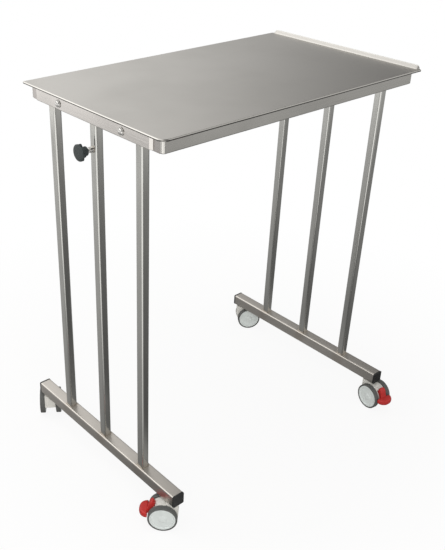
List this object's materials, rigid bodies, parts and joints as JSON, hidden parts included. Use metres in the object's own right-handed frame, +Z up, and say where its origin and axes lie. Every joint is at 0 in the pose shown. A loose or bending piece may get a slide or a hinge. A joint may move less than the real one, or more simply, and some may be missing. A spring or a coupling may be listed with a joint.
{
  "type": "veterinary exam table",
  "caption": "Wheeled stainless exam table: a flat top with side rails on two welded leg frames, with braked twin-wheel castors and a clamp screw on one leg.",
  "frame": {"origin": "on the floor, under the middle of the table's whole box", "axes": "+Z up; +X along the long side of the top towards the upstand; +Y along the short side, away from the braked castors"},
  "size_m": [0.8234, 0.6242, 0.9065],
  "materials": {
    "top_sheet": "fine satin, matt",
    "frame_steel": "brushed along each tube",
    "bright_steel": "turned, bright",
    "cap_plastic": "moulded, black",
    "knob_plastic": "moulded, dark grey, fine grain",
    "pad_nylon": "turned nylon",
    "hood_plastic": "moulded, cream white",
    "disc_plastic": "moulded, pale grey",
    "tyre_rubber": "moulded, mid grey, matt",
    "pedal_plastic": "moulded, red"
  },
  "bodies": {
    "frame": {"top_plate": "top_sheet", "front_apron": "frame_steel", "rear_apron": "frame_steel", "left_apron": "frame_steel", "right_apron": "frame_steel", "top_stiffener": "frame_steel", "left_side_rail": "frame_steel", "right_side_rail": "frame_steel", "left_top_bar": "frame_steel", "right_top_bar": "frame_steel", "left_foot_bar": "frame_steel", "right_foot_bar": "frame_steel", "left_front_post": "frame_steel", "left_middle_post": "frame_steel", "left_rear_post": "frame_steel", "right_front_post": "frame_steel", "right_middle_post": "frame_steel", "right_rear_post": "frame_steel", "front_left_rail_screw": "bright_steel", "front_right_rail_screw": "bright_steel", "rear_left_rail_screw": "bright_steel", "rear_right_rail_screw": "bright_steel", "front_left_end_cap": "cap_plastic", "front_right_end_cap": "cap_plastic", "rear_left_end_cap": "cap_plastic", "rear_right_end_cap": "cap_plastic", "clamp_boss": "frame_steel", "front_left_castor_stem": "bright_steel", "front_right_castor_stem": "bright_steel", "rear_left_castor_stem": "bright_steel", "rear_right_castor_stem": "bright_steel"},
    "clamp_pad": {"clamp_pad": "pad_nylon"},
    "clamp_screw": {"clamp_stud": "bright_steel", "clamp_knob": "knob_plastic"},
    "front_left_castor": {"front_left_castor_hood": "hood_plastic", "front_left_castor_axle": "bright_steel"},
    "front_left_wheel_a": {"front_left_disc_a": "disc_plastic", "front_left_tyre_a": "tyre_rubber"},
    "front_left_wheel_b": {"front_left_disc_b": "disc_plastic", "front_left_tyre_b": "tyre_rubber"},
    "front_left_pedal": {"front_left_brake_pedal": "pedal_plastic"},
    "front_right_castor": {"front_right_castor_hood": "hood_plastic", "front_right_castor_axle": "bright_steel"},
    "front_right_wheel_a": {"front_right_disc_a": "disc_plastic", "front_right_tyre_a": "tyre_rubber"},
    "front_right_wheel_b": {"front_right_disc_b": "disc_plastic", "front_right_tyre_b": "tyre_rubber"},
    "front_right_pedal": {"front_right_brake_pedal": "pedal_plastic"},
    "rear_left_castor": {"rear_left_castor_hood": "hood_plastic", "rear_left_castor_axle": "bright_steel"},
    "rear_left_wheel_a": {"rear_left_disc_a": "disc_plastic", "rear_left_tyre_a": "tyre_rubber"},
    "rear_left_wheel_b": {"rear_left_disc_b": "disc_plastic", "rear_left_tyre_b": "tyre_rubber"},
    "rear_right_castor": {"rear_right_castor_hood": "hood_plastic", "rear_right_castor_axle": "bright_steel"},
    "rear_right_wheel_a": {"rear_right_disc_a": "disc_plastic", "rear_right_tyre_a": "tyre_rubber"},
    "rear_right_wheel_b": {"rear_right_disc_b": "disc_plastic", "rear_right_tyre_b": "tyre_rubber"}
  },
  "joints": [
    {"name": "clamp_advance", "type": "slide", "parent": "frame", "child": "clamp_pad", "axis": [-1, 0, 0], "range_m": [0, 0.0042]},
    {"name": "clamp_turn", "type": "hinge", "parent": "clamp_pad", "child": "clamp_screw", "pos_m": [-0.36097, 0.00786, 0.814], "axis": [-1, 0, 0], "range_deg": [0, 1080]},
    {"name": "front_left_swivel", "type": "hinge", "parent": "frame", "child": "front_left_castor", "pos_m": [-0.35097, -0.23814, 0.0335], "axis": [0, 0, 1], "continuous": true},
    {"name": "front_left_roll_a", "type": "hinge", "parent": "front_left_castor", "child": "front_left_wheel_a", "pos_m": [-0.36511, -0.224, 0.0335], "axis": [-0.7071, -0.7071, 0], "continuous": true},
    {"name": "front_left_roll_b", "type": "hinge", "parent": "front_left_castor", "child": "front_left_wheel_b", "pos_m": [-0.36511, -0.224, 0.0335], "axis": [-0.7071, -0.7071, 0], "continuous": true},
    {"name": "front_left_brake", "type": "hinge", "parent": "front_left_castor", "child": "front_left_pedal", "pos_m": [-0.36511, -0.224, 0.0335], "axis": [-0.7071, -0.7071, 0], "range_deg": [0, 16]},
    {"name": "front_right_swivel", "type": "hinge", "parent": "frame", "child": "front_right_castor", "pos_m": [0.35353, -0.23814, 0.0335], "axis": [0, 0, 1], "continuous": true},
    {"name": "front_right_roll_a", "type": "hinge", "parent": "front_right_castor", "child": "front_right_wheel_a", "pos_m": [0.35058, -0.25792, 0.0335], "axis": [0.989, -0.1478, 0], "continuous": true},
    {"name": "front_right_roll_b", "type": "hinge", "parent": "front_right_castor", "child": "front_right_wheel_b", "pos_m": [0.35058, -0.25792, 0.0335], "axis": [0.989, -0.1478, 0], "continuous": true},
    {"name": "front_right_brake", "type": "hinge", "parent": "front_right_castor", "child": "front_right_pedal", "pos_m": [0.35058, -0.25792, 0.0335], "axis": [0.989, -0.1478, 0], "range_deg": [0, 16]},
    {"name": "rear_left_swivel", "type": "hinge", "parent": "frame", "child": "rear_left_castor", "pos_m": [-0.35097, 0.25386, 0.0335], "axis": [0, 0, 1], "continuous": true},
    {"name": "rear_left_roll_a", "type": "hinge", "parent": "rear_left_castor", "child": "rear_left_wheel_a", "pos_m": [-0.33935, 0.27014, 0.0335], "axis": [-0.8141, 0.5807, 0], "continuous": true},
    {"name": "rear_left_roll_b", "type": "hinge", "parent": "rear_left_castor", "child": "rear_left_wheel_b", "pos_m": [-0.33935, 0.27014, 0.0335], "axis": [-0.8141, 0.5807, 0], "continuous": true},
    {"name": "rear_right_swivel", "type": "hinge", "parent": "frame", "child": "rear_right_castor", "pos_m": [0.35353, 0.25386, 0.0335], "axis": [0, 0, 1], "continuous": true},
    {"name": "rear_right_roll_a", "type": "hinge", "parent": "rear_right_castor", "child": "rear_right_wheel_a", "pos_m": [0.36971, 0.2421, 0.0335], "axis": [0.5878, 0.809, 0], "continuous": true},
    {"name": "rear_right_roll_b", "type": "hinge", "parent": "rear_right_castor", "child": "rear_right_wheel_b", "pos_m": [0.36971, 0.2421, 0.0335], "axis": [0.5878, 0.809, 0], "continuous": true}
  ],
  "couplings": [
    {"joint": "clamp_advance", "follows": "clamp_turn", "m_per_rad": 0.00019894}
  ]
}
